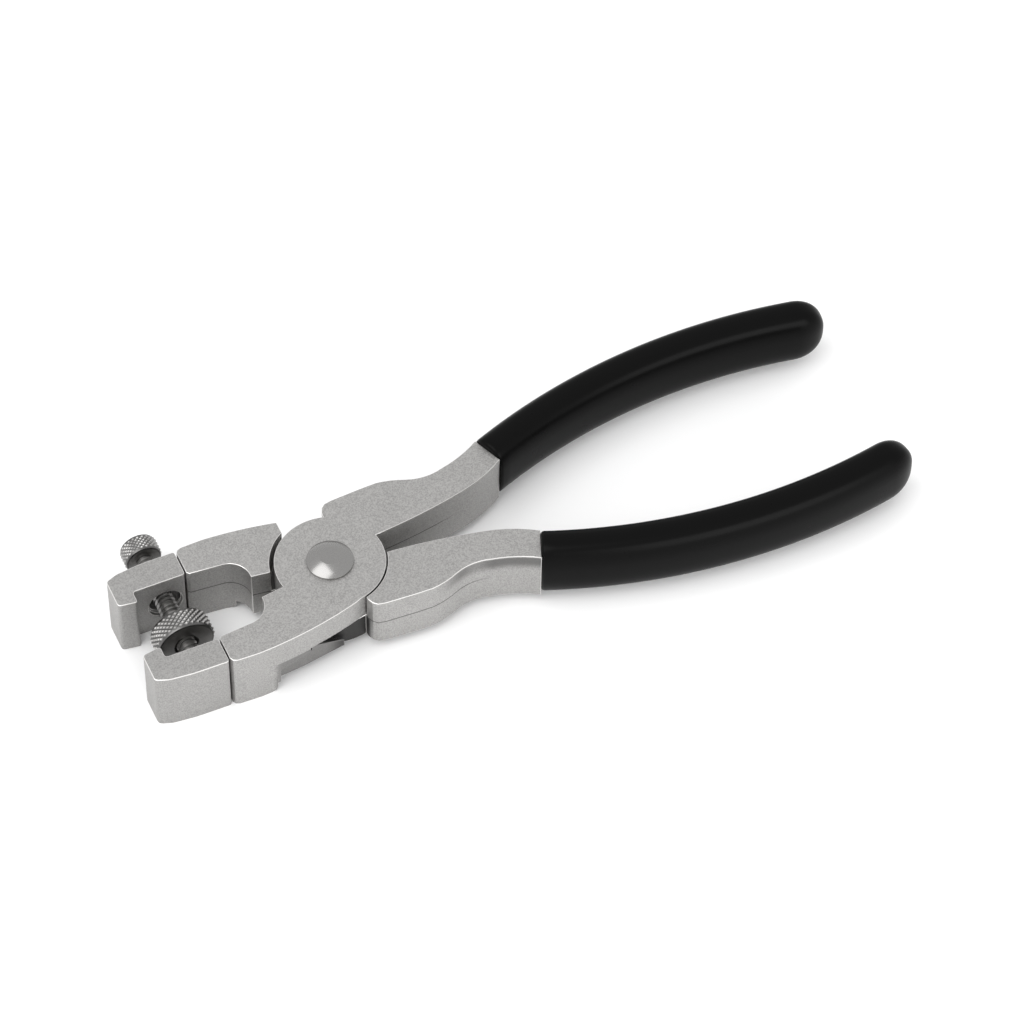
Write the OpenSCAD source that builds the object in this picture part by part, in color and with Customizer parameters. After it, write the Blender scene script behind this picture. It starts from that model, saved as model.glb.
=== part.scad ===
// Saw setting pliers, drawn as they lie flat with the jaws open.
// X runs along the tool towards the handles, Y across it and Z up from the table.
// The origin is on the table, under the middle of the whole tool.

/* [Levers] */
// Full height of the jaws
jaw_h = 15; // [14.4:0.1:17]
// Height of the levers at the pivot and along the handles
lever_h = 12.6; // [12:0.1:13]
// Radius of the round lap at the pivot
lap_r = 11.5; // [11:0.1:11.9]
// Gap between the two laps where they slide on each other
lap_gap = 0.1; // [0.05:0.01:0.2]
// Gap round the lap on its jaw side
jaw_relief = 0.9; // [0.7:0.1:1.2]
// Gap round the lap on its handle side
handle_relief = 0.35; // [0.3:0.05:0.6]
// Distance from the pivot to the back face of the jaw blocks
seam_x = 28.2; // [27.8:0.1:28.4]
// Width of the seam between a lever and its jaw block
seam_gap = 0.3; // [0.1:0.05:0.5]
// Distance from the middle line to the inside of each jaw arm
arm_in_y = 8.35; // [8.1:0.05:8.8]
// Distance from the middle line to the outside of each jaw arm
arm_out_y = 15.7; // [15.3:0.1:16.5]
// Radius of the round throat behind the jaw arms
throat_r = 4.7; // [4.3:0.1:5]
// Distance from the pivot to the middle of the throat
throat_x = 20.95; // [20.5:0.05:21.5]
// Distance from the pivot to the heel, where the jaw's full height ends
heel_x = 18.2; // [17:0.1:20]
// Radius of the arch under the arm
arch_r = 55; // [50:1:70]
// Radius on the lower corner of the heel
heel_r = 1.5; // [0.5:0.1:2]

/* [Handles] */
// Distance from the middle line to the shoulder beside the pivot
shoulder_y = 14.9; // [14.4:0.1:15.6]
// Distance from the middle line to the waist between shoulder and grip
waist_y = 12.65; // [12.2:0.05:13.2]
// Distance from the middle line to the inside of the handle beside the pivot
inside_y = 2.5; // [2.3:0.05:3]

/* [Grips] */
// Width of each dipped grip
grip_w = 8.6; // [8.2:0.1:9.6]
// Height of each dipped grip
grip_h = 14.6; // [14.2:0.1:15.2]
// Radius of the grip's corners
grip_round = 3.9; // [3:0.1:4]
// How far the grip's middle lies above the middle of the handle
grip_lift = 0.6; // [0:0.1:0.8]
// Thickness of the grip's vinyl over the steel
coat = 1; // [0.8:0.05:1.3]
// Distance from the pivot to the grip's front edge, measured along the tool
grip_x0 = 41.2; // [41:0.1:43]
// Distance from the middle line to the middle of the grip at its front edge
grip_y0 = 13.45; // [13.2:0.05:13.7]
// Distance from the pivot to the centre of the grip's round end
grip_x1 = 118.7; // [110:0.1:135]
// Distance from the middle line to the centre of the grip's round end
grip_y1 = 20.65; // [18:0.05:24]
// How far the grip bows outwards from the straight line between its ends
grip_bow = 5.75; // [4:0.05:7]
// How far the steel stops short of the grip's round end
tang_short = 5; // [4:0.5:12]

/* [Jaw blocks] */
// Distance from the pivot to the front of the jaw blocks
front_x = 43.65; // [43:0.05:46]
// Length of the lips at the front
lip_l = 4.05; // [3.6:0.05:4.2]
// Distance from the middle line to the tip of each lip
lip_y = 6.7; // [6.4:0.05:7]
// Angle of the lip faces, which meet flat when the jaws close
lip_angle = 8.65; // [7:0.05:10]
// Distance from the middle line to the face behind each lip
recess_y = 8.9; // [8.7:0.05:9.2]
// Distance from the middle line to the block's outside at the seam
block_out_y = 15.1; // [15:0.05:15.6]
// How much the block's outside draws in towards the front
block_draft = 1.6; // [1:0.05:1.8]
// How far back the block's upright edges are rounded
block_round = 0.7; // [0.3:0.05:0.9]

/* [Pivot rivet] */
// Diameter of the rivet's shank
rivet_d = 5; // [4.5:0.1:6]
// Diameter of the rivet's upper head
rivet_head_d = 9.8; // [8.8:0.1:11]
// Height of the upper head
rivet_head_h = 1.8; // [1.2:0.1:2.2]
// Diameter of the flat on the upper head
rivet_flat_d = 4.4; // [3:0.1:6]
// Height of the rim round the upper head
rivet_rim_h = 0.6; // [0.3:0.1:0.9]
// Diameter of the head under the levers
rivet_foot_d = 8.4; // [7.5:0.1:9.5]
// Height of the head under the levers
rivet_foot_h = 1.2; // [0.8:0.1:1.4]
// Running clearance on the radius of every turning or sliding fit
fit_gap = 0.05; // [0.03:0.01:0.08]

/* [Dowels] */
// Diameter of the hidden dowels that hold the jaw blocks
dowel_d = 2.5; // [2:0.1:2.6]
// Length of those dowels
dowel_l = 9.4; // [8:0.1:10]
// Height of each dowel above or below the middle of the jaw
dowel_z = 4.5; // [4.3:0.1:4.9]

/* [Stop screw and thumb head] */
// Distance from the pivot to the screw
screw_x = 32.85; // [32.7:0.05:33]
// Outer diameter of the screw's thread
thread_d = 4.2; // [3.8:0.05:4.4]
// Distance from one thread to the next
thread_pitch = 1; // [0.8:0.05:1.25]
// Depth of the thread's grooves
thread_depth = 0.45; // [0.3:0.05:0.5]
// How far the screw reaches into its jaw block
screw_grip = 2.6; // [2.4:0.1:2.7]
// Depth of the tapped hole in that block
tapped_depth = 5.3; // [5.3:0.05:5.4]
// Distance from the middle line to the underside of the thumb head
head_y = 20.9; // [20.4:0.1:22]
// Length of the thumb head
head_l = 4; // [3.4:0.1:6]
// Diameter of the thumb head
head_d = 8.2; // [7.4:0.1:8.6]
// Diameter of the screw's plain end inside the thumb head
stem_d = 3; // [2.4:0.1:3.2]
// Length of that plain end
stem_l = 2.4; // [1.8:0.1:2.8]

/* [Stop nut] */
// Diameter of the stop nut
nut_d = 13; // [12:0.1:13]
// Width of the stop nut
nut_w = 4.8; // [4.4:0.1:5]
// Distance from the middle line to the nut's stop face
nut_y = 2.2; // [2:0.05:2.4]
// Diameter of the hollow in the nut's other face
nut_hollow_d = 5.4; // [5.2:0.1:7]
// Depth of that hollow
nut_hollow_l = 1.2; // [0.5:0.1:2]
// Width of the bevels on the nut and thumb head
knob_bevel = 0.4; // [0.2:0.05:0.7]

/* [Hole the screw swings in] */
// Radius of the hole at the face of the lower jaw block
mouth_r = 3.7; // [3.7:0.05:3.9]
// Depth of the round mouth of that hole
mouth_depth = 0.8; // [0.4:0.1:1.2]
// Free room on the radius round the swinging screw
swing_gap = 0.2; // [0.15:0.05:0.25]
// Angle the pliers can open from here before the thumb head stops them
open_angle = 5; // [4:0.25:5]
// Angle they can close before the nut stops them
close_angle = 9.5; // [8:0.25:9.5]

/* [Hidden] */
$fn = 96;
// longer than any cut
far = 200;
low_z = jaw_h - lever_h;
lap_z = low_z + lever_h / 2;
mid_z = jaw_h / 2;
tang_w = grip_w - 2 * coat;
tang_h = min(lever_h, grip_h - 2 * coat) - 0.4;

// the whole tool runs from the front of the jaws to the ends of the grips
mid_x = (grip_x1 + grip_w / 2 - front_x) / 2;

// Points along an arc from p to q, without p, that swells to the left of the way by sag
function arc(p, q, sag, n) = let (
    chord = norm(q - p),
    r = (chord * chord / 4 + sag * sag) / (2 * sag),
    half = asin(chord / (2 * abs(r))),
    left = [p[1] - q[1], q[0] - p[0]] / chord,
    middle = (p + q) / 2 - left * (r - sag),
    start = atan2(p[1] - middle[1], p[0] - middle[0])
) [for (i = [1 : n]) middle + abs(r) * [cos(start - sign(sag) * 2 * half * i / n),
    sin(start - sign(sag) * 2 * half * i / n)]];

// An outline with every corner rounded, starting r before it and ending r after it
function softened(outline, r) = [for (i = [0 : len(outline) - 1])
    let (p = outline[i], a = outline[(i + len(outline) - 1) % len(outline)], b = outline[(i + 1) % len(outline)])
    for (t = [0 : 0.25 : 1])
        p + (a - p) / norm(a - p) * r * pow(1 - t, 2) + (b - p) / norm(b - p) * r * pow(t, 2)];

function turned(p, a) = [p[0] * cos(a) - p[1] * sin(a), p[0] * sin(a) + p[1] * cos(a)];

// curve along the middle of the grip: its centre, its radius and the turns of its two ends
bow_p = [grip_x0, grip_y0];
bow_q = [grip_x1, grip_y1];
bow_chord = norm(bow_q - bow_p);
bow_r = (bow_chord * bow_chord / 4 + grip_bow * grip_bow) / (2 * grip_bow);
bow_left = [bow_p[1] - bow_q[1], bow_q[0] - bow_p[0]] / bow_chord;
bow_c = (bow_p + bow_q) / 2 - bow_left * (bow_r - grip_bow);
bow_a0 = atan2(bow_p[1] - bow_c[1], bow_p[0] - bow_c[0]);
bow_a1 = atan2(bow_q[1] - bow_c[1], bow_q[0] - bow_c[0]);
deg_per_mm = 180 / PI / bow_r;

// corners where the bare handle ends at the grip's front edge
bare = [cos(bow_a0), sin(bow_a0)];
bare_in = bow_c + bare * (bow_r - tang_w / 2 - 0.25);
bare_out = bow_c + bare * (bow_r + tang_w / 2 + 0.25);

// plan of a lever whose jaw lies towards -Y and whose handle lies towards +Y
arm_end_x = seam_x - seam_gap;
throat_wall = throat_x - throat_r;
throat_y = arm_in_y - 0.3 - throat_r;
lever_plan = concat(
    [[8, -1], [lap_r * 0.28, -lap_r * 0.94], [1, -lap_r - 0.25]],
    arc([1, -lap_r - 0.25], [-22, -arm_out_y], 0.75, 14),
    [
        [-arm_end_x + 1.3, -arm_out_y + 0.15],
        [-arm_end_x + 0.4, -arm_out_y + 0.5],
        [-arm_end_x, -arm_out_y + 1.3],
        [-arm_end_x, -arm_in_y - 0.8],
        [-arm_end_x + 0.5, -arm_in_y - 0.25],
        [-throat_x, -arm_in_y + 0.3]
    ],
    [for (i = [1 : 12]) [-throat_x + throat_r * sin(i * 7.5), -throat_y - throat_r * cos(i * 7.5)]],
    [
        [-throat_wall, -2.8],
        [-lap_r + 0.4, -2.15],
        [-lap_r + 3, -1.6],
        [-2, 5],
        [lap_r * 0.27, lap_r * 0.94],
        [lap_r * 0.28, lap_r + 0.6],
        [lap_r * 0.28 + 0.5, shoulder_y - 1.6],
        [lap_r * 0.28 + 1.4, shoulder_y - 0.8],
        [lap_r * 0.28 + 3, shoulder_y - 0.5],
        [13, shoulder_y - 0.1],
        [16.5, shoulder_y]
    ],
    arc([16.5, shoulder_y], [22.5, waist_y + 0.6], 0.25, 4),
    arc([22.5, waist_y + 0.6], [30.5, waist_y + 0.3], -0.72, 6),
    arc([30.5, waist_y + 0.3], bare_out, -0.45, 6),
    [bare_in],
    arc(bare_in, [31.8, inside_y + 3.1], 0.55, 5),
    arc([31.8, inside_y + 3.1], [lap_r - 0.4, inside_y - 0.05], 0.4, 6)
);

// cross section with cut corners that follow a radius
function rounded(w, h, r, n) = [
    for (k = [0 : 3]) for (i = [0 : n])
        let (a = k * 90 + i * 90 / n, sx = (k == 0 || k == 3) ? 1 : -1, sy = k < 2 ? 1 : -1)
        [sx * (w / 2 - r) + r * cos(a), sy * (h / 2 - r) + r * sin(a)]
];

// Everything is drawn about the pivot and then moved to the middle of the tool
module place() {
    translate([-mid_x, 0, 0]) children();
}

// Sweeps a cross section along the grip's curve, between two turns of it
module bow(from, to) {
    translate([bow_c[0], bow_c[1], lap_z]) rotate([0, 0, to]) rotate_extrude(angle = from - to, $fn = 360) {
        translate([bow_r, 0]) children();
    }
}

// Steel inside the grip; the start turn reaches back into the bare handle
module tang(start) {
    bow(start, bow_a1 + tang_short * deg_per_mm) polygon(rounded(tang_w, tang_h, grip_round - coat, 3));
}

// Foot that makes the arm as high as the jaws
module foot() {
    intersection() {
        linear_extrude(low_z + 1) polygon(lever_plan);
        rotate([90, 0, 0]) linear_extrude(far) polygon(concat(
            [[-far, -1], [-heel_x - heel_r, -1], [-heel_x - heel_r, 0]],
            [for (i = [1 : 6]) [-heel_x - heel_r + heel_r * sin(i * 15), heel_r - heel_r * cos(i * 15)]],
            [[-heel_x, low_z + 2], [-far, low_z + 2]]
        ));
    }
}

// One lever: its lap fills one half of the height and the other half makes room for the other lap
module lever(lap_on_top) {
    lap_from = lap_on_top ? lap_z + lap_gap / 2 : low_z;
    room_from = lap_on_top ? low_z - 5 : lap_z - lap_gap / 2;
    room_h = lever_h / 2 + 5 + (lap_on_top ? 1 : -1) * lap_gap / 2 + (lap_on_top ? 0 : lap_gap);
    difference() {
        union() {
            difference() {
                translate([0, 0, low_z]) linear_extrude(lever_h) polygon(lever_plan);
                translate([0, 0, room_from]) cylinder(r = lap_r + handle_relief, h = room_h);
                intersection() {
                    translate([0, 0, room_from]) cylinder(r = lap_r + jaw_relief, h = room_h);
                    translate([-far / 2, -far - 1, -far / 2]) cube(far);
                }
            }
            translate([0, 0, lap_from]) cylinder(r = lap_r, h = (lever_h - lap_gap) / 2);
            foot();
            tang(bow_a0 + 1 * deg_per_mm);
        }
        translate([0, 0, -1]) cylinder(r = rivet_d / 2 + (lap_on_top ? 0 : fit_gap), h = jaw_h + 2);
        dowels();
    }
}

// Two dowels across the seam, in the middle of the jaw arm
module dowels() {
    for (side = [-1, 1]) {
        translate([-seam_x + seam_gap / 2 - dowel_l / 2, -(recess_y + block_out_y) / 2, mid_z + side * dowel_z]) {
            rotate([0, 90, 0]) cylinder(d = dowel_d, h = dowel_l, $fn = 48);
        }
    }
}

// Jaw block of a lever whose jaw lies towards -Y
module block() {
    lip_back = lip_y - lip_l * tan(lip_angle);
    front_out = block_out_y - block_draft;
    linear_extrude(jaw_h) polygon(softened([
        [-seam_x, -recess_y],
        [-front_x + lip_l, -recess_y],
        [-front_x + lip_l, -lip_back],
        [-front_x, -lip_y],
        [-front_x, -front_out],
        [-front_x + 2.6, -block_out_y + 0.62],
        [-front_x + 7.6, -block_out_y + 0.1],
        [-seam_x, -block_out_y]
    ], block_round));
}

// Turns what is drawn along Z from the middle line to lie along the screw
module along_screw() {
    translate([-screw_x, 0, mid_z]) rotate([-90, 0, 0]) children();
}

// Lever whose lap lies on top: its jaw is at -Y and its handle at +Y
module upper_lever() {
    color("silver") place() difference() {
        lever(true);
        arm_hollow();
        horn_wedge();
    }
}

// Shallow hollow in the outside of the arm, under an arch
module arm_hollow() {
    intersection() {
        linear_extrude(jaw_h) polygon([
            [-heel_x + 0.7, -far],
            [-heel_x + 0.7, -arm_out_y + 1.5],
            [-12, -arm_out_y + 2],
            [-8.2, -arm_out_y + 2.6],
            [-3, -arm_out_y + 3.45],
            [5, -arm_out_y + 3.9],
            [5, -far]
        ]);
        translate([-1, -arm_out_y + 6, lap_z - 0.05 - arch_r]) rotate([90, 0, 0]) {
            cylinder(r = arch_r, h = 12, $fn = 300);
        }
    }
}

// Slope that thins the end of the arm's lower half, beside the other lever's lap
module horn_wedge() {
    translate([0, -lap_r + 2.5, 0]) rotate([90, 0, 0]) linear_extrude(9) polygon([
        [-10.5, lap_z - 0.6],
        [-10.5, lap_z + lap_gap / 2],
        [9, lap_z + lap_gap / 2],
        [9, low_z - 2],
        [2.6, low_z - 2],
        [2.1, low_z + 0.1]
    ]);
}

// Lever whose lap lies underneath: its jaw is at +Y and its handle at -Y
module lower_lever() {
    color("silver") place() mirror([0, 1, 0]) difference() {
        lever(false);
        translate([-6.2, -far - 2, lap_z - lap_gap / 2]) cube([far, far, far]);
    }
}

// Block that the screw is threaded into
module upper_jaw_block() {
    color("lightgray") place() difference() {
        block();
        dowels();
        along_screw() translate([0, 0, -recess_y - tapped_depth]) {
            cylinder(d = thread_d + 2 * fit_gap, h = tapped_depth + 2);
        }
    }
}

// Block that the nut stops against; the screw swings in its hole as the pliers open and close
module lower_jaw_block() {
    room = thread_d / 2 + swing_gap;
    color("lightgray") place() difference() {
        mirror([0, 1, 0]) block();
        mirror([0, 1, 0]) dowels();
        along_screw() cylinder(r = mouth_r, h = recess_y + mouth_depth);
        rotate([0, 0, open_angle]) along_screw() cylinder(r = room, h = far);
        rotate([0, 0, -close_angle]) along_screw() cylinder(r = room, h = far);
        translate([0, 0, mid_z - room]) linear_extrude(2 * room) polygon([
            turned([-screw_x, 0], open_angle),
            turned([-screw_x, 40], open_angle),
            turned([-screw_x, 40], -close_angle),
            turned([-screw_x, 0], -close_angle)
        ]);
    }
}

module upper_jaw_dowels() {
    color("gray") place() dowels();
}

module lower_jaw_dowels() {
    color("gray") place() mirror([0, 1, 0]) dowels();
}

module pivot_rivet() {
    foot_z = low_z - lap_gap;
    color("silver") place() rotate_extrude() polygon([
        [0, foot_z - rivet_foot_h],
        [rivet_foot_d / 2 - 0.9, foot_z - rivet_foot_h],
        [rivet_foot_d / 2, foot_z - 0.5],
        [rivet_foot_d / 2, foot_z],
        [rivet_d / 2, foot_z],
        [rivet_d / 2, jaw_h],
        [rivet_head_d / 2, jaw_h],
        [rivet_head_d / 2, jaw_h + rivet_rim_h],
        [rivet_flat_d / 2, jaw_h + rivet_head_h],
        [0, jaw_h + rivet_head_h]
    ]);
}

// Outline of the screw's thread, ring after ring from its tip
thread_low = -recess_y - screw_grip;
thread_rings = floor((head_y - 0.1 - thread_low) / thread_pitch) - 1;
thread_outline = concat(
    [[0, thread_low], [thread_d / 2 - thread_depth, thread_low]],
    [for (i = [0 : thread_rings - 1]) for (p = [[0, 0.35], [thread_depth, 0.62], [thread_depth, 0.73], [0, 1]])
        [thread_d / 2 - thread_depth + p[0], thread_low + (i + p[1]) * thread_pitch]]
);

module stop_screw() {
    color("dimgray") place() along_screw() rotate_extrude($fn = 64) polygon(concat(
        thread_outline,
        [
            [thread_d / 2 - thread_depth, head_y - 0.1],
            [stem_d / 2, head_y - 0.1],
            [stem_d / 2, head_y + stem_l],
            [0, head_y + stem_l]
        ]
    ));
}

// Knurled knob on the outer end of the screw
module thumb_head() {
    color("gray") place() along_screw() rotate_extrude() polygon([
        [stem_d / 2 + fit_gap, head_y],
        [head_d / 2 - knob_bevel, head_y],
        [head_d / 2, head_y + knob_bevel],
        [head_d / 2, head_y + head_l - knob_bevel],
        [head_d / 2 - knob_bevel, head_y + head_l],
        [0, head_y + head_l],
        [0, head_y + stem_l + 0.1],
        [stem_d / 2 + fit_gap, head_y + stem_l + 0.1]
    ]);
}

// Knurled nut that runs along the screw
module stop_nut() {
    back = nut_y - nut_w;
    bore = thread_d / 2 + fit_gap;
    color("gray") place() along_screw() rotate_extrude() polygon([
        [bore, back + nut_hollow_l],
        [nut_hollow_d / 2, back + nut_hollow_l],
        [nut_hollow_d / 2, back],
        [nut_d / 2 - knob_bevel, back],
        [nut_d / 2, back + knob_bevel],
        [nut_d / 2, nut_y - knob_bevel],
        [nut_d / 2 - knob_bevel, nut_y],
        [bore, nut_y]
    ]);
}

// Dipped grip of the lever whose handle lies towards +Y
module grip() {
    color([0.05, 0.05, 0.05]) difference() {
        union() {
            translate([0, 0, grip_lift]) bow(bow_a0, bow_a1 - 0.1 * deg_per_mm) polygon(rounded(grip_w, grip_h, grip_round, 4));
            translate([bow_q[0], bow_q[1], lap_z + grip_lift]) rotate([0, 0, bow_a1 - 180]) grip_end();
        }
        tang(bow_a0 + 1 * deg_per_mm);
    }
}

// Round end of the grip, which points towards +Y
module grip_end() {
    rotate_extrude(angle = 180) intersection() {
        polygon(rounded(grip_w, grip_h, grip_round, 4));
        translate([0, -far / 2]) square(far);
    }
}

module upper_grip() {
    place() grip();
}

module lower_grip() {
    place() mirror([0, 1, 0]) grip();
}

upper_lever();
lower_lever();
upper_jaw_block();
lower_jaw_block();
upper_jaw_dowels();
lower_jaw_dowels();
pivot_rivet();
stop_screw();
thumb_head();
stop_nut();
upper_grip();
lower_grip();
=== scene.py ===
import math

import bpy
from mathutils import Matrix, Vector


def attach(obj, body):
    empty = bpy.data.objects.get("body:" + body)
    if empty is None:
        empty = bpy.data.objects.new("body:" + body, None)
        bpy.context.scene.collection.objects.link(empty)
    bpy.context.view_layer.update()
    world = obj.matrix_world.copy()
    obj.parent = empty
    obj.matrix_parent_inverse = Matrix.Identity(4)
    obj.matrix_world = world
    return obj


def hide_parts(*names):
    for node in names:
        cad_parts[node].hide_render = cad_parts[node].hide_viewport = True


MM = 0.001

# ---- sizes, in millimetres: the part's own, and some that only the scene's pieces have ----
MIDDLE_X = 39.675  # from the pivot to the middle of the tool
JAW_HEIGHT = 15.0
LAP_PLANE = 8.7
RIVET_TOP = 16.8
RIVET_FLAT_RADIUS = 2.2  # of the flat spot on top
RIVET_SLOPE_STEPS = 8
RIVET_SLOPE_STEP = 0.375  # length of one step down the dome
RIVET_SLOPE_START = 16.0  # degrees, at the top
RIVET_SLOPE_GAIN = 20.0  # degrees, down to the rim
RIVET_RIM_RADIUS = 4.9
RIVET_RIM_TOP = 15.44
RIVET_SHANK_RADIUS = 2.5
RIVET_FOOT_RADIUS = 4.2
RIVET_FOOT_END_RADIUS = 3.3
RIVET_FOOT_TOP = 2.3
RIVET_FOOT_CHAMFER = 1.8
RIVET_FOOT_END = 1.1
RIVET_LEDGE = 0.01  # the fall of a flat ring, so that it isn't drawn in place
SCREW = Vector((-32.85 - MIDDLE_X, 0.0, 7.5))  # where the screw crosses the middle line
THREAD_RADIUS = 2.1
THREAD_DEPTH = 0.45
THREAD_PITCH = 1.0
THREAD_INSET = 0.6  # plain metal at both ends
RIDGE_HALF_FOOT = 0.44  # share of the pitch
RIDGE_HALF_TOP = 0.09  # share of the pitch
RIDGE_SUNK = 0.1  # into the core
SCREW_TIP = -11.5  # this and what follows on the screw, from the middle line
THREAD_END = 20.8
STEM_RADIUS = 1.5
STEM_END = 23.3
STEM_OVERLAP = 0.2  # with the thread's core
HEAD_RADIUS = 4.1
HEAD_BACK = 20.9
HEAD_LENGTH = 4.0
HEAD_RIM = 0.35
HOLE_CLEARANCE = 0.05  # of the thumb head's hole around the stem
HOLE_SPARE_DEPTH = 0.1
HEAD_KNURL_DEPTH = 0.22
HEAD_KNURL_FOOT = 0.04  # how far the diamonds reach into the body
HEAD_KNURL_MARGIN = 0.3  # from both ends
HEAD_KNURL_AROUND = 24  # diamonds in one row
NUT_RADIUS = 6.5
NUT_BACK = -2.6
NUT_WIDTH = 4.8
NUT_BORE = 2.15
NUT_HOLLOW_RADIUS = 2.7
NUT_HOLLOW_DEPTH = 1.2
NUT_RIM = 0.4
NUT_KNURL_DEPTH = 0.4
NUT_KNURL_FOOT = 0.02
NUT_KNURL_MARGIN = 0.35
NUT_KNURL_AROUND = 30
KNURL_ROWS = 4
GRIP_START = Vector((41.2 - MIDDLE_X, 13.45, 0.0))
GRIP_END = Vector((118.7 - MIDDLE_X, 20.65, 0.0))
GRIP_BOW = 5.75
GRIP_MIDDLE = 9.3
GRIP_HALF_WIDTH = 4.29
GRIP_HALF_HEIGHT = 7.3
GRIP_STEPS = 36
GRIP_SQUARENESS = 0.72  # 1 would make the section an ellipse
LIP_DEPTH = 1.1  # how far the first ring lies inside the grip's section
LIP_RINGS = ((0.03, 0.5), (0.12, 0.28), (0.35, 0.1), (0.75, 0.0))  # way along, depth left
TIP_LENGTH = 6.7
TIP_STEPS = 14
TIP_STEP_ANGLE = 6.4  # degrees
TIP_BLUNTNESS = 0.86
TIP_SMALLEST = 0.02
LEVER_BEVEL = 0.13
BLOCK_BEVEL = 0.15
MERGE_DISTANCE = 0.002

# ---- how finely round shapes are cut ----
TURNED_SIDES = 96
THREAD_SIDES = 32
GRIP_SIDES = 48

# ---- angles between faces, in degrees ----
FLAT_ANGLE = 0.4  # below it, faces are one
WORN_ANGLE = 50.0  # above it, a steel edge is worn and gets a painted highlight
RIM_ANGLE = 40.0  # above it, a knob's rim is bevelled
STEEL_SMOOTH_ANGLE = 24.0  # below these, shading is smooth
RIVET_SMOOTH_ANGLE = 14.0
SCREW_SMOOTH_ANGLE = 30.0
GRIP_SMOOTH_ANGLE = 60.0

# ---- where the steel changes colour, in millimetres from the pivot and the floor: the seam line and painted shade ----
# Each pair is where a mask is 0 and where it is 1: along the tool, across it and up.
UNDER_LAP = (8.6, 8.4)
# painted shade: the recess under the upper arm, nearly black
RECESS_SHADE = {
    "up": [UNDER_LAP],
    "across": [(-12.9, -12.1), (-4.0, -5.0)],
    "along": [(-12.5, -10.5), (4.5, 3.0)],
}
# painted shade on the lower lever's horn, under the upper arm
HORN_SHADE = {"up": [UNDER_LAP], "across": [(-11.2, -12.2)], "along": [(-19.5, -17.0), (1.0, -3.0)]}
# painted shade along the rounded outer edges of the handles near the grips
ROUNDING_SHADE = {"up": [(10.5, 13.2), (14.95, 14.4)], "along": [(17.0, 26.0)]}
ROUNDING_SHADE_OUT = (11.5, 13.0)  # from the middle line, to both sides
SEAM_HALF_WIDTH = (0.17, 0.1)
SEAM_END = {"along": [(32.0, 24.0)]}
SEAM_PAST_ARM = {"along": [(-4.0, -2.0)]}
SEAM_INSIDE_ARM = {"across": [(-11.0, -9.0)]}
KNOB_FLAT_FACE = (0.3, 0.5)  # the same for a knob's end, inwards from the knurl's grooves

# ---- camera, as the photograph was taken: pivot frame, top of the jaws at height 0 ----
CAMERA_PLACE = (-201.511, -517.032, 728.523)
CAMERA_TURN = 25.11
CAMERA_TILT = 52.1
CAMERA_ROLL = 0.97
CAMERA_LENS = 157.75
CAMERA_SENSOR = 36.0
CAMERA_CLIP = (0.01, 50.0)

# ---- studio, in metres and watts ----
FLOOR_SIZE = 12.0
WORLD_LEVEL = 0.95
KEY_LAMP = {"place": (-0.75, -0.15, 1.25), "size": 1.3, "watts": 12.0}
FILL_LAMP = {"place": (0.3, -1.25, 0.35), "size": 0.9, "watts": 8.0}


class Value:
    """A number that varies over a surface; arithmetic on it adds Math nodes."""

    def __init__(self, finish, socket):
        self.finish = finish
        self.socket = socket

    def math(self, operation, *others):
        numbers = {i: n for i, n in enumerate(others)}
        return self.finish.node("ShaderNodeMath", {"operation": operation}, numbers)

    def __add__(self, other):
        return self.math("ADD", self, other)

    def __radd__(self, other):
        return self.math("ADD", other, self)

    def __sub__(self, other):
        return self.math("SUBTRACT", self, other)

    def __mul__(self, other):
        return self.math("MULTIPLY", self, other)

    def __rmul__(self, other):
        return self.math("MULTIPLY", other, self)

    def distance(self, other):
        """How far this value is from another, always positive."""
        return (self - other).math("ABSOLUTE", self - other)

    def ramp(self, low, high):
        """0 at low, 1 at high and a smooth step between; high may be the smaller one."""
        return self.finish.node(
            "ShaderNodeMapRange",
            {"interpolation_type": "SMOOTHSTEP"},
            {"Value": self, "From Min": low, "From Max": high, "To Min": 0.0, "To Max": 1.0},
        )


class Finish:
    """A procedural material on one Principled shader."""

    def __init__(self, name, **constants):
        self.material = bpy.data.materials.new(name)
        self.material.use_nodes = True
        self.tree = self.material.node_tree
        self.shader = self.tree.nodes["Principled BSDF"]
        for socket, value in constants.items():
            self.set(socket.replace("_", " "), value)

    def node(self, kind, settings=None, inputs=None, output=0):
        made = self.tree.nodes.new(kind)
        for key, value in (settings or {}).items():
            setattr(made, key, value)
        for key, value in (inputs or {}).items():
            if isinstance(value, Value):
                self.tree.links.new(value.socket, made.inputs[key])
            else:
                made.inputs[key].default_value = value
        return Value(self, made.outputs[output])

    def set(self, socket, value):
        target = self.shader.inputs[socket]
        if isinstance(value, Value):
            self.tree.links.new(value.socket, target)
        elif isinstance(value, tuple):
            target.default_value = (*value[:3], 1.0)
        else:
            target.default_value = value

    def place(self):
        return self.node("ShaderNodeTexCoord", output="Object")

    def axes(self):
        """The place on the object, as three values in metres."""
        split = self.node("ShaderNodeSeparateXYZ", inputs={"Vector": self.place()})
        outputs = split.socket.node.outputs
        return Value(self, outputs["X"]), Value(self, outputs["Y"]), Value(self, outputs["Z"])

    def noise(self, size_mm, detail=2.0, roughness=0.5):
        """Noise whose blotches are about size_mm wide."""
        return self.node(
            "ShaderNodeTexNoise",
            inputs={
                "Vector": self.place(),
                "Scale": 1.0 / (size_mm * MM),
                "Detail": detail,
                "Roughness": roughness,
            },
        )

    def blend(self, share, first, second):
        """A colour between two others."""
        return self.node(
            "ShaderNodeMix",
            {"data_type": "RGBA"},
            {"Factor": share, 6: first, 7: second},
            output=2,
        )

    def bump(self, height, depth_mm, strength=1.0):
        self.set(
            "Normal",
            self.node(
                "ShaderNodeBump",
                inputs={"Strength": strength, "Distance": depth_mm * MM, "Height": height},
            ),
        )


def grey(level):
    return (level, level * 0.985, level * 0.965, 1.0)


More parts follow.
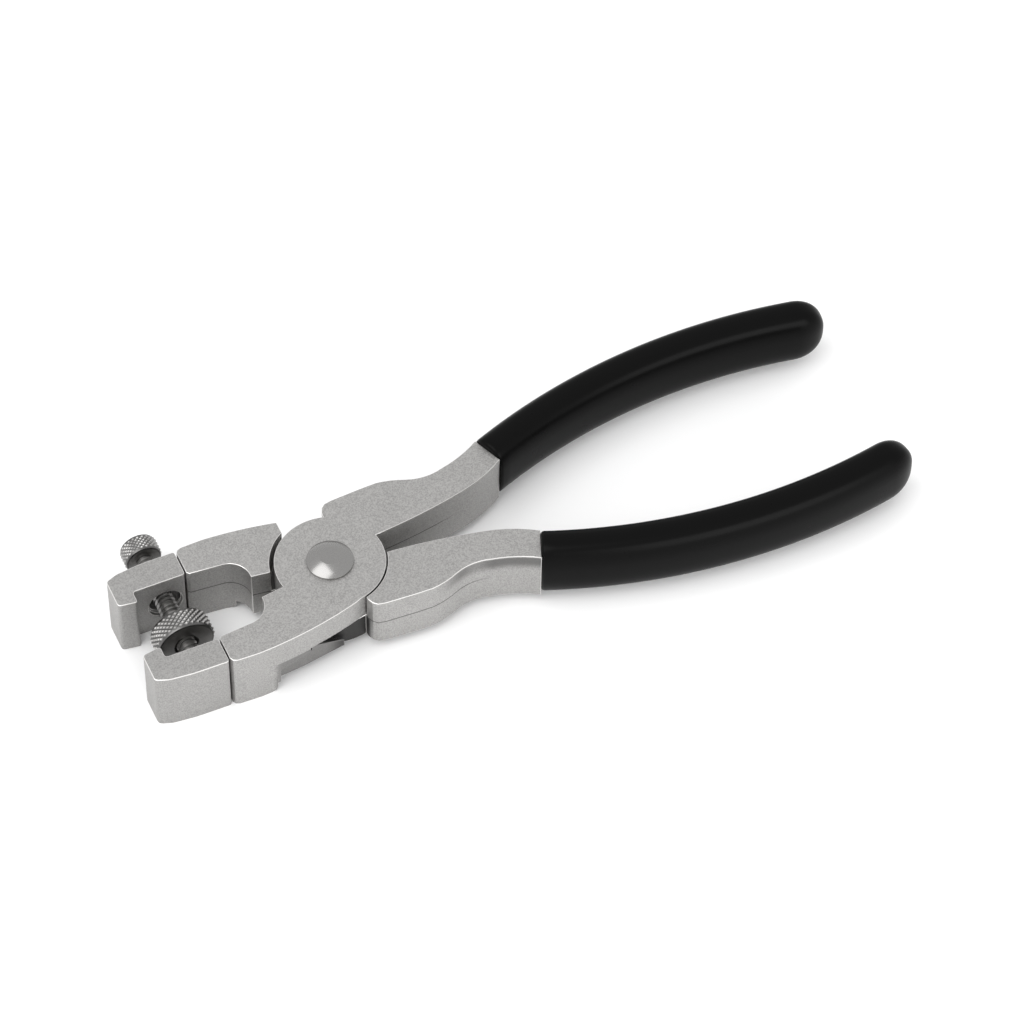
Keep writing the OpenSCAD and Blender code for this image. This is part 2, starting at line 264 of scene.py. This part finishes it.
def region(axes, along=(), across=(), up=()):
    """1 inside a box with soft sides, given as pairs of millimetres for ramps, and 0 outside."""
    x, y, z = axes
    inside = 1.0
    for axis, origin, pairs in ((z, 0.0, up), (y, 0.0, across), (x, MIDDLE_X, along)):
        for zero_at, one_at in pairs:
            inside = inside * axis.ramp((zero_at - origin) * MM, (one_at - origin) * MM)
    return inside


def seam(axes):
    """1 on the fine line that the lap leaves along the levers' sides."""
    line = axes[2].distance(LAP_PLANE * MM).ramp(*(half * MM for half in SEAM_HALF_WIDTH))
    past_arm = region(axes, **SEAM_PAST_ARM)
    reach = past_arm.math("MAXIMUM", past_arm, region(axes, **SEAM_INSIDE_ARM))
    return line * region(axes, **SEAM_END) * reach


def rounding_shade(axes):
    """1 where painted shade stands for the rounded outer edges of the bare handles, close to the
    grips.
    """
    far_out = axes[1].distance(0.0).ramp(*(out * MM for out in ROUNDING_SHADE_OUT))
    return region(axes, **ROUNDING_SHADE) * far_out


def blasted_steel(name, dark, light, lever=False):
    """Grey blasted steel: a fine mottled grain and faint larger clouds. A lever also has
    its seam line, and painted shade under the upper arm, on the horn and along the rounded edges
    near the grips."""
    finish = Finish(name, Metallic=1.0)
    grain = finish.noise(size_mm=0.28, roughness=0.6)
    clouds = finish.noise(size_mm=5.0)
    mottle = grain.ramp(0.32, 0.68) * 0.8 + clouds * 0.2
    colour = finish.blend(mottle, grey(dark), grey(light))
    if lever:
        axes = finish.axes()
        # the seam line, then painted shade in the recess, on the horn and along the rounding
        for mask, share, level in (
            (seam(axes), 0.7, 0.04),
            (region(axes, **RECESS_SHADE), 0.9, 0.02),
            (region(axes, **HORN_SHADE), 0.55, 0.10),
            (rounding_shade(axes), 0.75, 0.10),
        ):
            colour = finish.blend(mask * share, colour, grey(level))
    finish.set("Base Color", colour)
    finish.set("Roughness", 0.46 + mottle * 0.14)
    finish.bump(grain, depth_mm=0.02, strength=0.5)
    return finish.material


def worn_edge_highlight():
    """Bright bare steel on the edges, worn and with a painted highlight, and painted shade on the
    lower lever's horn.
    """
    finish = Finish("worn_edge_highlight", Metallic=1.0, Roughness=0.3)
    # painted shade on the horn's edges
    horn_shade = region(finish.axes(), **HORN_SHADE)
    finish.set("Base Color", finish.blend(horn_shade * 0.8, grey(0.74), grey(0.12)))
    return finish.material


def satin_steel(name, level, rough):
    """Plain machined steel, with a faint grain in its colour and gloss."""
    finish = Finish(name, Metallic=1.0)
    grain = finish.noise(size_mm=0.25)
    finish.set("Base Color", finish.blend(grain, grey(level * 0.9), grey(level * 1.1)))
    finish.set("Roughness", rough + grain * 0.08)
    return finish.material


def shaded_knurl_finish(name, radius, depth, low, high, flat=0.22):
    """Bright peaks, grooves darkened with painted shade, and plain ends, by the distance from the
    screw's axis.
    """
    finish = Finish(name, Metallic=1.0, Roughness=0.3)
    x, _, z = finish.axes()
    off_x = x - SCREW.x * MM
    off_z = z - SCREW.z * MM
    squares = off_x * off_x + off_z * off_z
    out = squares.math("SQRT", squares)
    # painted shade in the grooves, lighter towards the peaks
    height = out.ramp((radius - depth) * MM, radius * MM)
    inside = out.ramp(*((radius - depth - inwards) * MM for inwards in KNOB_FLAT_FACE))
    colour = finish.blend(height, grey(low), grey(high))
    finish.set("Base Color", finish.blend(inside, colour, grey(flat)))
    return finish.material


def dipped_vinyl():
    """Black vinyl with a soft sheen."""
    finish = Finish("black_vinyl", Base_Color=(0.003, 0.003, 0.003), Specular_IOR_Level=0.06)
    ripple = finish.noise(size_mm=9.0)
    finish.set("Roughness", 0.24 + ripple * 0.1)
    return finish.material


def deselect():
    """Leaves edit mode, if need be, with nothing selected."""
    if bpy.context.mode != "OBJECT":
        bpy.ops.object.mode_set(mode="OBJECT")
    bpy.ops.object.select_all(action="DESELECT")


def only(piece):
    deselect()
    piece.select_set(True)
    bpy.context.view_layer.objects.active = piece


def edit(piece, pick="VERT"):
    """Goes into edit mode, with nothing selected and one kind of element to pick."""
    only(piece)
    bpy.ops.object.mode_set(mode="EDIT")
    bpy.ops.mesh.select_mode(type=pick)
    bpy.ops.mesh.select_all(action="DESELECT")


def leave():
    bpy.ops.object.mode_set(mode="OBJECT")


def modify(piece, kind, **settings):
    """Adds a modifier, sets it and applies it."""
    only(piece)
    modifier = piece.modifiers.new(kind.lower(), kind)
    for key, value in settings.items():
        setattr(modifier, key, value)
    bpy.ops.object.modifier_apply(modifier=modifier.name)


def settle(piece):
    """Puts the piece's place into its mesh, so that its object sits at the origin."""
    only(piece)
    bpy.ops.object.transform_apply(location=True, rotation=True, scale=True)


def join(pieces):
    """Joins pieces into the first one, which keeps its name."""
    deselect()
    for piece in pieces:
        piece.select_set(True)
    bpy.context.view_layer.objects.active = pieces[0]
    bpy.ops.object.join()
    return pieces[0]


def merged_copy(node, name):
    """A new piece that starts as the CAD node's shape, with flat faces whole again."""
    piece = bpy.data.objects.new(name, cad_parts[node].data.copy())
    bpy.context.scene.collection.objects.link(piece)
    piece.data.materials.clear()
    edit(piece)
    bpy.ops.mesh.select_all(action="SELECT")
    bpy.ops.mesh.remove_doubles(threshold=MERGE_DISTANCE * MM)
    bpy.ops.mesh.dissolve_limited(angle_limit=math.radians(FLAT_ANGLE))
    bpy.ops.mesh.normals_make_consistent(inside=False)
    leave()
    return piece


def dress(piece, body, slot, *nodes):
    """Gives the piece its body and takes away the CAD nodes that it stands for. The slot is not
    used.
    """
    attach(piece, body)
    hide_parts(*nodes)


def close_ends():
    """Fills the open rings of the piece in edit mode and turns its faces outwards."""
    bpy.ops.mesh.select_all(action="SELECT")
    bpy.ops.mesh.fill_holes(sides=0)
    face_out()


def face_out():
    bpy.ops.mesh.select_all(action="SELECT")
    bpy.ops.mesh.normals_make_consistent(inside=False)


def extrude(move):
    bpy.ops.mesh.extrude_region_move(TRANSFORM_OT_translate={"value": move})


def smooth(piece, angle):
    only(piece)
    bpy.ops.object.shade_smooth_by_angle(angle=math.radians(angle))


def edged_piece(node, name, body, slot, steel, bevel_mm):
    """A steel piece with worn edges, painted bright as a highlight."""
    piece = merged_copy(node, name)
    piece.data.materials.append(steel)
    piece.data.materials.append(EDGE)
    modify(
        piece,
        "BEVEL",
        width=bevel_mm * MM,
        segments=2,
        limit_method="ANGLE",
        angle_limit=math.radians(WORN_ANGLE),
        material=1,  # the worn edge, with its painted highlight
        use_clamp_overlap=False,
    )
    smooth(piece, STEEL_SMOOTH_ANGLE)
    modify(piece, "WEIGHTED_NORMAL", mode="FACE_AREA", weight=100, keep_sharp=True)
    dress(piece, body, slot, node)


def along_screw(piece):
    """Lays a piece made along Z, in millimetres, along the screw from the middle line on."""
    turn = Matrix.Rotation(math.radians(-90.0), 4, "X")
    piece.data.transform(Matrix.Translation(SCREW * MM) @ turn @ Matrix.Scale(MM, 4))


def knurl(radius, back, front, around, depth, finish):
    """Pointed diamonds in staggered rows, which together cover a cylinder from back to front."""
    across = 2 * math.pi * radius / around
    along = (front - back) / KNURL_ROWS
    bpy.ops.mesh.primitive_cone_add(vertices=4, radius1=1.0, depth=1.0, end_fill_type="NOTHING")
    diamond = bpy.context.object
    diamond.data.transform(
        Matrix.Translation((radius - depth / 2, 0.0, 0.0))
        @ Matrix.Rotation(math.radians(90.0), 4, "Y")
        @ Matrix.Diagonal((along / 2, across / 2, depth, 1.0))
    )
    diamond.data.materials.append(finish)
    copies = []
    for row in range(2 * KNURL_ROWS - 1):
        for step in range(around):
            turn = (step + 0.5 * (row % 2)) * 2 * math.pi / around
            copy = diamond.copy()
            copy.data = diamond.data.copy()
            lift = Matrix.Translation((0.0, 0.0, back + along * (row + 1) / 2))
            copy.data.transform(Matrix.Rotation(turn, 4, "Z") @ lift)
            bpy.context.scene.collection.objects.link(copy)
            copies.append(copy)
    bpy.data.objects.remove(diamond)
    return copies


def turned_knob(name, radius, back, length, finish):
    """A plain cylinder along Z, in millimetres."""
    deselect()
    bpy.ops.mesh.primitive_cylinder_add(
        vertices=TURNED_SIDES, radius=radius, depth=length, location=(0.0, 0.0, back + length / 2)
    )
    knob = bpy.context.object
    knob.name = name
    settle(knob)
    knob.data.materials.append(finish)
    return knob


def rimmed_knob(name, radius, back, length, rim, finish):
    """A knob's body with small bevels on its rims, in edit mode for its faces to be picked."""
    knob = turned_knob(name, radius, back, length, finish)
    limit = math.radians(RIM_ANGLE)
    modify(knob, "BEVEL", width=rim, segments=2, limit_method="ANGLE", angle_limit=limit)
    edit(knob, "FACE")
    return knob


def pick_faces(piece, wanted):
    """Selects the faces that pass a test, and no others, of a piece in edit mode."""
    bpy.ops.mesh.select_all(action="DESELECT")
    leave()
    for face in piece.data.polygons:
        face.select = wanted(face)
    bpy.ops.object.mode_set(mode="EDIT")


def at_height(face, height):
    return abs(face.center.z - height) < 0.01


def pick_end(piece, height, up):
    """Selects the flat end of a knob that lies at a height and looks up (1) or down (-1)."""
    pick_faces(piece, lambda face: at_height(face, height) and face.normal.z * up > 0.9)


def finish_knob(knob, diamonds, body, node):
    """Joins a knob's body and knurl and puts it on the screw."""
    knob = join([knob, *diamonds])
    along_screw(knob)
    smooth(knob, SCREW_SMOOTH_ANGLE)
    dress(knob, body, "knurled_steel", node)


def turned(name, profile, finish):
    """A solid of revolution about Z, drawn out ring by ring through pairs of radius and height,
    in millimetres."""
    deselect()
    first_radius, first_height = profile[0]
    bpy.ops.mesh.primitive_circle_add(
        vertices=TURNED_SIDES, radius=first_radius, location=(0.0, 0.0, first_height)
    )
    piece = bpy.context.object
    settle(piece)
    edit(piece)
    bpy.ops.mesh.select_all(action="SELECT")
    for (radius, height), (next_radius, next_height) in zip(profile, profile[1:]):
        extrude((0.0, 0.0, next_height - height))
        ratio = next_radius / radius
        bpy.ops.transform.resize(
            value=(ratio, ratio, 1.0), center_override=(0.0, 0.0, next_height)
        )
    close_ends()
    leave()
    piece.name = name
    piece.data.materials.append(finish)
    return piece


def pivot_rivet():
    """A head with a flat top and a domed slope over a thin rim, a shank and a flat foot."""
    profile = [(RIVET_FLAT_RADIUS, RIVET_TOP)]
    for step in range(RIVET_SLOPE_STEPS):
        share = step / (RIVET_SLOPE_STEPS - 1)
        slope = math.radians(RIVET_SLOPE_START + RIVET_SLOPE_GAIN * share)
        radius, height = profile[-1]
        profile.append(
            (
                radius + RIVET_SLOPE_STEP * math.cos(slope),
                height - RIVET_SLOPE_STEP * math.sin(slope),
            )
        )
    profile += [
        (RIVET_RIM_RADIUS, RIVET_RIM_TOP),
        (RIVET_RIM_RADIUS, JAW_HEIGHT),
        (RIVET_SHANK_RADIUS, JAW_HEIGHT - RIVET_LEDGE),
        (RIVET_SHANK_RADIUS, RIVET_FOOT_TOP),
        (RIVET_FOOT_RADIUS, RIVET_FOOT_TOP - RIVET_LEDGE),
        (RIVET_FOOT_RADIUS, RIVET_FOOT_CHAMFER),
        (RIVET_FOOT_END_RADIUS, RIVET_FOOT_END),
    ]
    rivet = turned("pivot_rivet_turned", profile, RIVET)
    rivet.data.transform(Matrix.Scale(MM, 4) @ Matrix.Translation((-MIDDLE_X, 0.0, 0.0)))
    smooth(rivet, RIVET_SMOOTH_ANGLE)
    dress(rivet, "upper_half", "rivet_steel", "pivot_rivet")


def stop_nut():
    """A knurled ring with a shallow hollow in the face towards the upper block."""
    front = NUT_BACK + NUT_WIDTH
    hollow_floor = NUT_BACK + NUT_HOLLOW_DEPTH
    body_radius = NUT_RADIUS - NUT_KNURL_DEPTH
    flat_radius = body_radius - NUT_RIM
    nut = rimmed_knob("stop_nut_knurled", body_radius, NUT_BACK, NUT_WIDTH, NUT_RIM, NUT)
    pick_end(nut, NUT_BACK, -1.0)
    bpy.ops.mesh.inset(thickness=flat_radius - NUT_HOLLOW_RADIUS)
    extrude((0.0, 0.0, NUT_HOLLOW_DEPTH))
    bpy.ops.mesh.inset(thickness=NUT_HOLLOW_RADIUS - NUT_BORE)
    pick_end(nut, front, 1.0)
    bpy.ops.mesh.inset(thickness=flat_radius - NUT_BORE)
    pick_faces(
        nut,
        lambda face: len(face.vertices) == TURNED_SIDES
        and (at_height(face, hollow_floor) or at_height(face, front)),
    )
    bpy.ops.mesh.bridge_edge_loops()
    leave()
    diamonds = knurl(
        NUT_RADIUS,
        NUT_BACK + NUT_KNURL_MARGIN,
        front - NUT_KNURL_MARGIN,
        around=NUT_KNURL_AROUND,
        depth=NUT_KNURL_DEPTH + NUT_KNURL_FOOT,
        finish=NUT,
    )
    finish_knob(nut, diamonds, "nut", "stop_nut")


def thumb_head():
    """A knurled knob with a blind hole for the screw's stem."""
    front = HEAD_BACK + HEAD_LENGTH
    body_radius = HEAD_RADIUS - HEAD_KNURL_DEPTH
    hole_radius = STEM_RADIUS + HOLE_CLEARANCE
    knob = rimmed_knob("thumb_head_knurled", body_radius, HEAD_BACK, HEAD_LENGTH, HEAD_RIM, HEAD)
    pick_end(knob, HEAD_BACK, -1.0)
    bpy.ops.mesh.inset(thickness=body_radius - HEAD_RIM - hole_radius)
    extrude((0.0, 0.0, STEM_END - HEAD_BACK + HOLE_SPARE_DEPTH))
    leave()
    diamonds = knurl(
        HEAD_RADIUS,
        HEAD_BACK + HEAD_KNURL_MARGIN,
        front - HEAD_KNURL_MARGIN,
        around=HEAD_KNURL_AROUND,
        depth=HEAD_KNURL_DEPTH + HEAD_KNURL_FOOT,
        finish=HEAD,
    )
    finish_knob(knob, diamonds, "head", "thumb_head")


def thread_ridge():
    """One open-ended ridge, trapezoid in section, wound along the thread."""
    root = THREAD_RADIUS - THREAD_DEPTH - RIDGE_SUNK
    deselect()
    bpy.ops.mesh.primitive_plane_add(size=1.0, rotation=(math.radians(90.0), 0.0, 0.0))
    ridge = bpy.context.object
    settle(ridge)
    corners = sorted(ridge.data.vertices, key=lambda v: (v.co.x, v.co.z))
    places = [
        (root, -RIDGE_HALF_FOOT),
        (root, RIDGE_HALF_FOOT),
        (THREAD_RADIUS, -RIDGE_HALF_TOP),
        (THREAD_RADIUS, RIDGE_HALF_TOP),
    ]
    for corner, (across, along) in zip(corners, places):
        corner.co = (across, 0.0, along * THREAD_PITCH)
    edit(ridge)
    bpy.ops.mesh.select_all(action="SELECT")
    bpy.ops.mesh.delete(type="ONLY_FACE")
    leave()
    modify(
        ridge,
        "SCREW",
        axis="Z",
        angle=math.radians(360.0),
        screw_offset=THREAD_PITCH,
        iterations=int((THREAD_END - SCREW_TIP - 2 * THREAD_INSET) / THREAD_PITCH),
        steps=THREAD_SIDES,
        render_steps=THREAD_SIDES,
        use_merge_vertices=False,
    )
    edit(ridge)
    bpy.ops.mesh.select_all(action="SELECT")
    bpy.ops.mesh.remove_doubles(threshold=0.001)
    bpy.ops.mesh.select_all(action="SELECT")
    bpy.ops.mesh.fill_holes(sides=8)
    face_out()
    leave()
    ridge.data.transform(Matrix.Translation((0.0, 0.0, SCREW_TIP + THREAD_INSET)))
    ridge.data.materials.append(THREAD)
    return ridge


def stop_screw():
    """A round core with one ridge wound along it, and the plain stem inside the thumb head."""
    root = THREAD_RADIUS - THREAD_DEPTH
    core = turned_knob("stop_screw_thread", root, SCREW_TIP, THREAD_END - SCREW_TIP, THREAD)
    stem_start = THREAD_END - STEM_OVERLAP
    stem = turned_knob("stem", STEM_RADIUS, stem_start, STEM_END - stem_start, THREAD)
    screw = join([core, stem, thread_ridge()])
    along_screw(screw)
    smooth(screw, SCREW_SMOOTH_ANGLE)
    dress(screw, "screw", "screw_steel", "stop_screw")


def oval_ring(middle, across, half_width, half_height):
    """A new piece: one ring of points on a squarish oval, upright around the middle."""
    bpy.ops.mesh.primitive_circle_add(vertices=GRIP_SIDES, radius=1.0)
    ring = bpy.context.object
    for point in ring.data.vertices:
        turn = math.atan2(point.co.y, point.co.x)
        wide = half_width * squarish(math.cos(turn))
        high = half_height * squarish(math.sin(turn))
        point.co = middle + across * wide + Vector((0.0, 0.0, high))
    return ring


def squarish(share):
    return math.copysign(abs(share) ** GRIP_SQUARENESS, share)


def grow_ring(spot, axes, old_depth, new_depth):
    """Scales the selected ring, which lies old_depth inside the grip's section, to new_depth."""
    wide = (GRIP_HALF_WIDTH - new_depth) / (GRIP_HALF_WIDTH - old_depth)
    high = (GRIP_HALF_HEIGHT - new_depth) / (GRIP_HALF_HEIGHT - old_depth)
    bpy.ops.transform.resize(
        value=(wide, 1.0, high),
        orient_type="GLOBAL",
        orient_matrix=axes.transposed(),
        orient_matrix_type="GLOBAL",
        center_override=(spot.x, spot.y, GRIP_MIDDLE),
    )


def grip(node, name, body, side):
    """A dipped sleeve: one oval ring drawn out along an arc, with a rounded lip and a domed
    tip. It is made on the far side (1) and mirrored for the near one (-1)."""
    chord = GRIP_END - GRIP_START
    radius = chord.length ** 2 / (8 * GRIP_BOW) + GRIP_BOW / 2
    bulge = Vector((-chord.y, chord.x, 0.0)).normalized()
    centre = (GRIP_START + GRIP_END) / 2 + bulge * (GRIP_BOW - radius)
    across = (GRIP_START - centre).normalized()
    heading = Vector((across.y, -across.x, 0.0))
    arc_angle = 2 * math.asin(chord.length / 2 / radius)
    deselect()
    piece = oval_ring(
        GRIP_START + Vector((0.0, 0.0, GRIP_MIDDLE)),
        across,
        GRIP_HALF_WIDTH - LIP_DEPTH,
        GRIP_HALF_HEIGHT - LIP_DEPTH,
    )
    edit(piece)
    bpy.ops.mesh.select_all(action="SELECT")

    axes = Matrix((across, heading, Vector((0.0, 0.0, 1.0))))
    spot, reached, depth = GRIP_START.copy(), 0.0, LIP_DEPTH
    for along, new_depth in LIP_RINGS:
        extrude(heading * (along - reached))
        spot = spot + heading * (along - reached)
        grow_ring(spot, axes, depth, new_depth)
        reached, depth = along, new_depth

    tip_past_arc = TIP_LENGTH - GRIP_HALF_WIDTH
    turn = (arc_angle * radius - reached - tip_past_arc) / radius
    for _ in range(GRIP_STEPS):
        bpy.ops.mesh.extrude_region_move()
        bpy.ops.transform.rotate(
            value=turn / GRIP_STEPS,
            orient_axis="Z",
            orient_type="GLOBAL",
            center_override=(centre.x, centre.y, 0.0),
        )
    spin = Matrix.Rotation(-turn, 3, "Z")
    spot = centre + spin @ (spot - centre)
    heading = spin @ heading

    share, reached = 1.0, 0.0
    for step in range(1, TIP_STEPS + 1):
        angle = math.radians(TIP_STEP_ANGLE * step)
        along = TIP_LENGTH * math.sin(angle)
        new_share = max(max(math.cos(angle), 0.0) ** TIP_BLUNTNESS, TIP_SMALLEST)
        extrude(heading * (along - reached))
        spot = spot + heading * (along - reached)
        bpy.ops.transform.resize(
            value=(new_share / share,) * 3, center_override=(spot.x, spot.y, GRIP_MIDDLE)
        )
        share, reached = new_share, along
    close_ends()
    leave()
    piece.data.transform(Matrix.Diagonal((MM, MM * side, MM, 1.0)))
    if side < 0:
        piece.data.flip_normals()
    piece.data.materials.append(VINYL)
    smooth(piece, GRIP_SMOOTH_ANGLE)
    piece.name = name
    dress(piece, body, "grip_vinyl", node)


def corner(place):
    return [float(n) for n in place]


def camera():
    """The photograph's camera."""
    turn, tilt, roll = (math.radians(a) for a in (CAMERA_TURN, CAMERA_TILT, CAMERA_ROLL))
    across = Vector((math.cos(turn), -math.sin(turn), 0.0))
    level = math.cos(tilt)
    away = Vector((math.sin(turn) * level, math.cos(turn) * level, -math.sin(tilt)))
    up = across.cross(away)
    right = across * math.cos(roll) + up * math.sin(roll)
    top = up * math.cos(roll) - across * math.sin(roll)
    made = bpy.data.objects.new("camera", bpy.data.cameras.new("camera"))
    bpy.context.scene.collection.objects.link(made)
    facing = Matrix((right, top, -away)).transposed().to_4x4()
    place = Vector(CAMERA_PLACE) + Vector((-MIDDLE_X, 0.0, JAW_HEIGHT))
    made.matrix_world = Matrix.Translation(place * MM) @ facing
    made.data.lens = CAMERA_LENS
    made.data.sensor_width = CAMERA_SENSOR
    made.data.clip_start, made.data.clip_end = CAMERA_CLIP
    bpy.context.scene.camera = made


def lamp(name, place, size, watts):
    """A soft square lamp that looks at the middle of the tool."""
    made = bpy.data.objects.new(name, bpy.data.lights.new(name, "AREA"))
    made.data.shape = "SQUARE"
    made.data.size = size
    made.data.energy = watts
    made.location = place
    made.rotation_euler = (-Vector(place)).to_track_quat("-Z", "Y").to_euler()
    bpy.context.scene.collection.objects.link(made)


def studio():
    """White paper under the tool, even light all round and two lamps. What the camera sees of
    the world is pure white."""
    deselect()
    bpy.ops.mesh.primitive_plane_add(size=FLOOR_SIZE, location=(0.0, 0.0, 0.0))
    floor = bpy.context.object
    floor.name = "floor"
    paper = Finish("paper", Base_Color=(0.93, 0.93, 0.93), Roughness=0.9, Specular_IOR_Level=0.06)
    floor.data.materials.append(paper.material)
    world = bpy.data.worlds.new("studio")
    world.use_nodes = True
    tree = world.node_tree
    background = tree.nodes["Background"]
    rays = tree.nodes.new("ShaderNodeLightPath")
    level = tree.nodes.new("ShaderNodeMapRange")
    level.inputs["To Min"].default_value = WORLD_LEVEL
    level.inputs["To Max"].default_value = 1.0
    tree.links.new(rays.outputs["Is Camera Ray"], level.inputs["Value"])
    tree.links.new(level.outputs[0], background.inputs["Strength"])
    background.inputs["Color"].default_value = (1.0, 1.0, 1.0, 1.0)
    bpy.context.scene.world = world
    lamp("key", **KEY_LAMP)
    lamp("fill", **FILL_LAMP)


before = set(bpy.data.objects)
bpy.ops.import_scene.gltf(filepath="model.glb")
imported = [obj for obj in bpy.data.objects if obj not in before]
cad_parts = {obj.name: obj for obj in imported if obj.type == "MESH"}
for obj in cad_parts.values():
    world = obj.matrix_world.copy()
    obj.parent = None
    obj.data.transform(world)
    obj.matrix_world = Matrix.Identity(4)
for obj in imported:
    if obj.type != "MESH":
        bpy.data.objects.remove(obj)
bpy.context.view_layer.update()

EDGE = worn_edge_highlight()
STEEL = blasted_steel("lever_steel", dark=0.30, light=0.49, lever=True)
BLOCK = blasted_steel("block_steel", dark=0.29, light=0.45)
RIVET = satin_steel("rivet_steel", level=0.29, rough=0.2)
# the low levels are painted shade in the knurl's grooves
NUT = shaded_knurl_finish("nut_steel", NUT_RADIUS, NUT_KNURL_DEPTH, low=0.13, high=0.64)
HEAD = shaded_knurl_finish(
    "head_steel", HEAD_RADIUS, HEAD_KNURL_DEPTH + HEAD_KNURL_FOOT, low=0.12, high=0.52
)
THREAD = satin_steel("thread_steel", level=0.28, rough=0.26)
VINYL = dipped_vinyl()

for node, body, slot, steel, bevel in (
    ("upper_lever", "upper_half", "blasted_steel", STEEL, LEVER_BEVEL),
    ("lower_lever", "lower_half", "blasted_steel", STEEL, LEVER_BEVEL),
    ("upper_jaw_block", "upper_half", "block_steel", BLOCK, BLOCK_BEVEL),
    ("lower_jaw_block", "lower_half", "block_steel", BLOCK, BLOCK_BEVEL),
):
    edged_piece(node, f"{node}_worn", body, slot, steel, bevel)
pivot_rivet()
stop_screw()
thumb_head()
stop_nut()
grip("upper_grip", "upper_grip_dipped", "upper_half", 1.0)
grip("lower_grip", "lower_grip_dipped", "lower_half", -1.0)
for node in ("upper_jaw_dowels", "lower_jaw_dowels"):
    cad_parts[node].data.materials.clear()
    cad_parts[node].data.materials.append(RIVET)

camera()
studio()
bpy.context.scene.view_settings.view_transform = "Standard"
